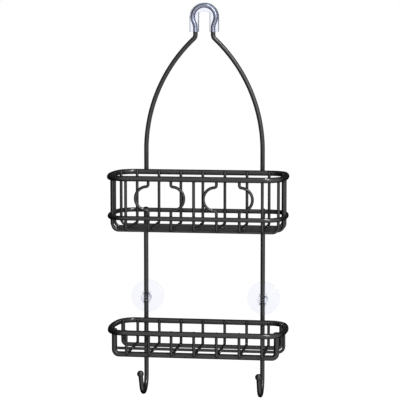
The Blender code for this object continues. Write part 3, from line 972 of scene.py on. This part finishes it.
CAMERA_PLACE = (0.3582, -2.5732, 0.0168)
CAMERA_YAW = math.radians(8.06)
CAMERA_PITCH = math.radians(6.32)
CAMERA_LENS = 162.3
CAMERA_SENSOR = 36.0
FLOOR_DROP = 0.25
FLOOR_SIZE = 40.0
FLOOR_COLOR = (0.12, 0.12, 0.12, 1.0)
FLOOR_ROUGHNESS = 0.9
FLOOR_GLOW = 0.945

# Studio: where its bright side lies, and its brightness from the far side round to the bright one.
STUDIO_BRIGHT_SIDE = (0.60, -0.80, 0.0)
STUDIO_STOPS = [
    (0.0, grey(0.005)),
    (0.42, grey(0.015)),
    (0.60, grey(0.30)),
    (0.80, grey(0.9)),
    (1.0, grey(1.0)),
]
STUDIO_STRENGTH = 1.35

# Lamps: name, place, the point it faces, width, height and power.
LAMPS = [
    ("top", (0.55, -1.0, 1.9), (0.0, -0.05, -0.3), 0.30, 0.30, 44.0),
    ("front_right", (1.6, -2.4, 0.8), (0.0, 0.0, -0.3), 1.2, 1.6, 30.0),
    ("leg_line", (0.90, -1.36, 1.15), (0.05, 0.0, -0.08), 0.20, 0.20, 13.0),
]


def make_camera():
    camera = bpy.data.cameras.new("camera")
    camera.lens = CAMERA_LENS
    camera.sensor_width = CAMERA_SENSOR
    obj = bpy.data.objects.new("camera", camera)
    obj.location = CAMERA_PLACE
    obj.rotation_euler = (math.pi / 2 - CAMERA_PITCH, 0.0, CAMERA_YAW)
    bpy.context.scene.collection.objects.link(obj)
    bpy.context.scene.camera = obj


def make_floor():
    """Plain pale floor well below the hanging caddy."""
    shape = bmesh.new()
    bmesh.ops.create_grid(shape, x_segments=1, y_segments=1, size=FLOOR_SIZE / 2)
    floor = smooth_object("floor", shape)
    floor.location = (0.0, 0.0, CAD_BOX[0][2] - FLOOR_DROP)
    material, _, shader = new_material("pale_floor")
    shader.inputs["Base Color"].default_value = FLOOR_COLOR
    shader.inputs["Roughness"].default_value = FLOOR_ROUGHNESS
    shader.inputs["Specular IOR Level"].default_value = 0.0
    shader.inputs["Emission Color"].default_value = (1.0, 1.0, 1.0, 1.0)
    shader.inputs["Emission Strength"].default_value = FLOOR_GLOW
    floor.data.materials.append(material)
    floor.visible_diffuse = False
    floor.visible_glossy = False


def add_light(name, place, target, size_x, size_y, power):
    light = bpy.data.lights.new(name, "AREA")
    light.shape = "RECTANGLE"
    light.size = size_x
    light.size_y = size_y
    light.energy = power
    obj = bpy.data.objects.new(name, light)
    obj.location = place
    direction = Vector(target) - Vector(place)
    obj.rotation_euler = direction.to_track_quat("-Z", "Y").to_euler()
    bpy.context.scene.collection.objects.link(obj)


def make_world():
    """White to the eye; for light and reflections, bright to the right and front, dim behind left.

    What is seen through the clear pieces is white too, but only where they are seen from the front.
    """
    world = bpy.data.worlds.new("studio")
    bpy.context.scene.world = world
    world.use_nodes = True
    tree = world.node_tree
    place = tree.nodes.new("ShaderNodeTexCoord").outputs["Generated"]
    level = tree.nodes.new("ShaderNodeVectorMath")
    level.operation = "MULTIPLY"
    level.inputs[1].default_value = (1.0, 1.0, 0.0)
    tree.links.new(place, level.inputs[0])
    azimuth = tree.nodes.new("ShaderNodeVectorMath")
    azimuth.operation = "NORMALIZE"
    tree.links.new(level.outputs["Vector"], azimuth.inputs[0])
    towards = tree.nodes.new("ShaderNodeVectorMath")
    towards.operation = "DOT_PRODUCT"
    towards.inputs[1].default_value = Vector(STUDIO_BRIGHT_SIDE).normalized()
    tree.links.new(azimuth.outputs["Vector"], towards.inputs[0])
    facing = add_range(tree, towards.outputs["Value"], -1.0, 1.0, 0.0, 1.0)
    lit = tree.nodes["Background"]
    tree.links.new(add_ramp(tree, facing, STUDIO_STOPS), lit.inputs["Color"])
    lit.inputs["Strength"].default_value = STUDIO_STRENGTH
    seen = tree.nodes.new("ShaderNodeBackground")
    seen.inputs["Color"].default_value = (1.0, 1.0, 1.0, 1.0)
    rays = tree.nodes.new("ShaderNodeLightPath")
    behind = add_math(tree, "GREATER_THAN", split_axes(tree, place)["Y"], 0.0)
    seen_through = add_math(tree, "MULTIPLY", rays.outputs["Is Transmission Ray"], behind)
    white = add_math(tree, "MAXIMUM", rays.outputs["Is Camera Ray"], seen_through)
    mix = tree.nodes.new("ShaderNodeMixShader")
    tree.links.new(white, mix.inputs["Fac"])
    tree.links.new(lit.outputs["Background"], mix.inputs[1])
    tree.links.new(seen.outputs["Background"], mix.inputs[2])
    tree.links.new(mix.outputs["Shader"], tree.nodes["World Output"].inputs["Surface"])


make_camera()
make_floor()
make_world()
for lamp in LAMPS:
    add_light(*lamp)
bpy.context.scene.view_settings.view_transform = "Standard"
